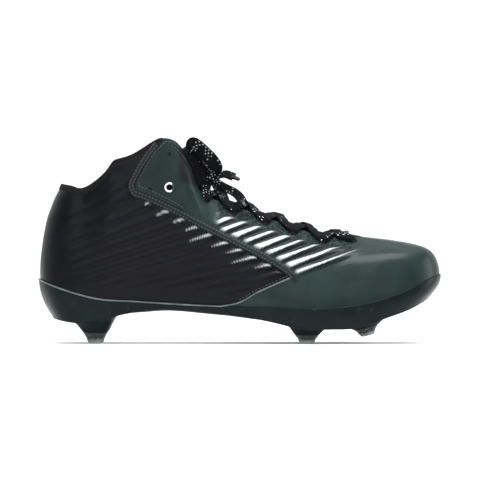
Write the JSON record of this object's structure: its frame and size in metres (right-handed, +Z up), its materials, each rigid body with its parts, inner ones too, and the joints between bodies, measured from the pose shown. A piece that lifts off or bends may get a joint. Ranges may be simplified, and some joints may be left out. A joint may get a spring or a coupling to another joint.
{
  "type": "american football cleat",
  "caption": "Mid-cut lace-up field sports shoe with a moulded plate and screw-on studs, for the right foot.",
  "frame": {"origin": "on the floor, under the middle of the shoe's box without the loose lace", "axes": "+X from heel to toe, +Y towards the inner side of the foot, +Z up from the floor that the studs stand on"},
  "size_m": [0.299, 0.1058, 0.1512],
  "materials": {
    "upper": "coated synthetic, black ribbed quarter and glossy dark green vamp",
    "plate": "satin moulded",
    "stud": "pale grey, slightly see-through",
    "insole": "black knit over foam",
    "tongue": "black mesh",
    "seam": "dark green tape, stitched on both edges",
    "eyestay": "matt dark green synthetic",
    "ring": "polished",
    "lace": "flat black weave with pale flecks",
    "lace_tip": "black clear-coated"
  },
  "bodies": {
    "root": {"upper": "upper", "sole_plate": "plate", "stud_heel_outer": "stud", "stud_heel_inner": "stud", "stud_ball_outer": "stud", "stud_ball_inner": "stud", "stud_front_outer": "stud", "stud_front_inner": "stud", "insole": "insole", "tongue": "tongue", "seam_outer": "seam", "seam_inner": "seam", "eyestay_outer": "eyestay", "eyestay_inner": "eyestay", "eyelet_ring_outer": "ring", "eyelet_ring_inner": "ring", "lace_crossings": "lace", "lace_knot": "lace", "lace_loop_outer": "lace", "lace_loop_inner": "lace", "lace_end_outer": "lace", "lace_end_front": "lace", "lace_tip_outer": "lace_tip", "lace_tip_front": "lace_tip"}
  },
  "joints": []
}
